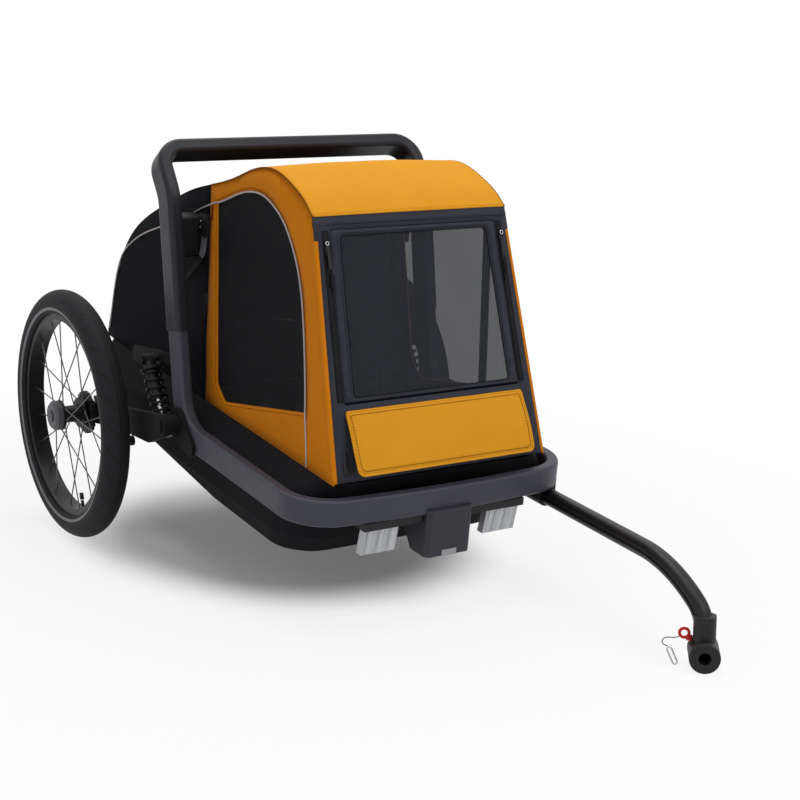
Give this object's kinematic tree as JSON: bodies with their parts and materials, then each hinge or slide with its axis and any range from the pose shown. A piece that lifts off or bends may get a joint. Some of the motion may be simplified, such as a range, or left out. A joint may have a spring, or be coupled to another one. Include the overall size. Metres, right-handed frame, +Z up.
{
  "type": "dog bike trailer",
  "caption": "Two-wheeled bicycle trailer for a dog: cloth cabin with mesh door in a bent tube frame, sprung spoked wheels, push handle and tow arm.",
  "frame": {"origin": "centre of the footprint box, on the ground", "axes": "+Z up; -Y forward, to the tow coupling; +X to the trailer's left"},
  "size_m": [0.661, 1.2422, 0.6418],
  "materials": {
    "tyre_rubber": "matt black rubber with a grey reflective band",
    "silver_metal": "satin",
    "black_plastic": "moulded, fine grain",
    "grey_plastic": "moulded",
    "frame_paint": "satin dark grey",
    "bright_steel": "bright",
    "orange_cloth": "coated woven polyester",
    "black_cloth": "coated woven polyester",
    "black_net": "fine mesh",
    "webbing": "woven webbing",
    "clear_lens": "clear ribbed reflector",
    "red_plastic": "moulded"
  },
  "bodies": {
    "chassis": {"frame_hoop": "frame_paint", "tub": "black_plastic", "floor_mat": "black_cloth", "roof_panel": "orange_cloth", "rear_canopy": "black_cloth", "side_panel_left": "orange_cloth", "side_panel_right": "orange_cloth", "side_net_left": "black_net", "side_net_right": "black_net", "rear_side_left": "black_cloth", "rear_side_right": "black_cloth", "front_panel": "orange_cloth", "front_hoop": "frame_paint", "rear_hoop": "frame_paint", "wheel_socket_block": "black_plastic", "reflector_beam": "black_plastic", "reflectors": "clear_lens", "suspension_bracket_left": "black_plastic", "suspension_bracket_right": "black_plastic", "shock_body_left": "black_plastic", "shock_body_right": "black_plastic", "coil_spring_left": "frame_paint", "coil_spring_right": "frame_paint", "upper_bracket_left": "frame_paint", "upper_bracket_right": "frame_paint", "upright_guides": "black_plastic", "straps": "webbing", "buckles": "black_plastic", "arm_receiver": "black_plastic"},
    "wheel_left": {"tyre_left": "tyre_rubber", "rim_left": "silver_metal", "spokes_left": "silver_metal", "hub_left": "black_plastic"},
    "hub_button_left": {"hub_button_left": "grey_plastic"},
    "swing_arm_left": {"swing_arm_left": "frame_paint"},
    "shock_rod_left": {"shock_rod_left": "bright_steel"},
    "brake_lever_left": {"brake_lever_left": "black_plastic"},
    "zip_slider_left": {"zip_slider_left": "silver_metal"},
    "wheel_right": {"tyre_right": "tyre_rubber", "rim_right": "silver_metal", "spokes_right": "silver_metal", "hub_right": "black_plastic"},
    "hub_button_right": {"hub_button_right": "grey_plastic"},
    "swing_arm_right": {"swing_arm_right": "frame_paint"},
    "shock_rod_right": {"shock_rod_right": "bright_steel"},
    "brake_lever_right": {"brake_lever_right": "black_plastic"},
    "zip_slider_right": {"zip_slider_right": "silver_metal"},
    "handlebar": {"handlebar": "frame_paint"},
    "tow_arm": {"tow_arm": "frame_paint", "arm_collar": "black_plastic", "coupling_head": "black_plastic"},
    "lock_pin": {"lock_pin": "red_plastic", "lanyard": "bright_steel", "lanyard_clip": "silver_metal"},
    "front_door": {"front_door": "black_cloth", "front_net": "black_net"},
    "front_flap": {"front_flap": "orange_cloth"},
    "rear_door": {"rear_door": "black_cloth"},
    "release_tab": {"release_tab": "grey_plastic"}
  },
  "joints": [
    {"name": "swing_left", "type": "hinge", "parent": "chassis", "child": "swing_arm_left", "pos_m": [0.252, 0.15344, 0.22493], "axis": [1, 0, 0], "range_deg": [-2, 5], "stiffness_Nm_per_rad": 700, "springref_deg": -0.71},
    {"name": "wheel_spin_left", "type": "hinge", "parent": "swing_arm_left", "child": "wheel_left", "pos_m": [0.295, 0.42152, 0.2], "axis": [1, 0, 0], "continuous": true},
    {"name": "hub_release_left", "type": "slide", "parent": "wheel_left", "child": "hub_button_left", "axis": [-1, 0, 0], "range_m": [0, 0.004], "stiffness_N_per_m": 800},
    {"name": "shock_stroke_left", "type": "slide", "parent": "chassis", "child": "shock_rod_left", "axis": [0, 0.4917, 0.8708], "range_m": [-0.0025, 0.0055], "deforming": ["coil_spring_left"]},
    {"name": "park_brake_left", "type": "hinge", "parent": "swing_arm_left", "child": "brake_lever_left", "pos_m": [0.266, 0.34178, 0.20697], "axis": [-1, 0, 0], "range_deg": [0, 8]},
    {"name": "zip_left", "type": "slide", "parent": "chassis", "child": "zip_slider_left", "axis": [0.0336, -0.2234, -0.9741], "range_m": [0, 0.17]},
    {"name": "swing_right", "type": "hinge", "parent": "chassis", "child": "swing_arm_right", "pos_m": [-0.252, 0.15344, 0.22493], "axis": [1, 0, 0], "range_deg": [-2, 5], "stiffness_Nm_per_rad": 700, "springref_deg": -0.71},
    {"name": "wheel_spin_right", "type": "hinge", "parent": "swing_arm_right", "child": "wheel_right", "pos_m": [-0.295, 0.42152, 0.2], "axis": [1, 0, 0], "continuous": true},
    {"name": "hub_release_right", "type": "slide", "parent": "wheel_right", "child": "hub_button_right", "axis": [1, 0, 0], "range_m": [0, 0.004], "stiffness_N_per_m": 800},
    {"name": "shock_stroke_right", "type": "slide", "parent": "chassis", "child": "shock_rod_right", "axis": [0, 0.4917, 0.8708], "range_m": [-0.0025, 0.0055], "deforming": ["coil_spring_right"]},
    {"name": "park_brake_right", "type": "hinge", "parent": "swing_arm_right", "child": "brake_lever_right", "pos_m": [-0.266, 0.34178, 0.20697], "axis": [-1, 0, 0], "range_deg": [0, 8]},
    {"name": "zip_right", "type": "slide", "parent": "chassis", "child": "zip_slider_right", "axis": [-0.0336, -0.2234, -0.9741], "range_m": [0, 0.17]},
    {"name": "handlebar_height", "type": "slide", "parent": "chassis", "child": "handlebar", "axis": [0, 0.0906, 0.9959], "range_m": [0, 0.08]},
    {"name": "tow_arm_reach", "type": "slide", "parent": "chassis", "child": "tow_arm", "axis": [-0.1436, -0.9889, -0.0378], "range_m": [0, 0.05]},
    {"name": "lock_pin_pull", "type": "slide", "parent": "tow_arm", "child": "lock_pin", "axis": [-0.544, 0.4517, 0.7071], "range_m": [-0.0025, 0.01]},
    {"name": "front_door", "type": "hinge", "parent": "chassis", "child": "front_door", "pos_m": [0, -0.18159, 0.30323], "axis": [1, 0, 0], "range_deg": [0, 100]},
    {"name": "front_flap", "type": "hinge", "parent": "chassis", "child": "front_flap", "pos_m": [0, -0.1879, 0.29183], "axis": [-1, 0, 0], "range_deg": [0, 50]},
    {"name": "rear_door", "type": "hinge", "parent": "chassis", "child": "rear_door", "pos_m": [0, 0.53225, 0.33513], "axis": [-1, 0, 0], "range_deg": [0, 100]},
    {"name": "socket_release", "type": "slide", "parent": "chassis", "child": "release_tab", "axis": [0, 0.9903, 0.1392], "range_m": [0, 0.003], "stiffness_N_per_m": 600}
  ],
  "couplings": [
    {"joint": "shock_stroke_left", "follows": "swing_left", "m_per_rad": 0.04757},
    {"joint": "shock_stroke_right", "follows": "swing_right", "m_per_rad": 0.04757}
  ]
}
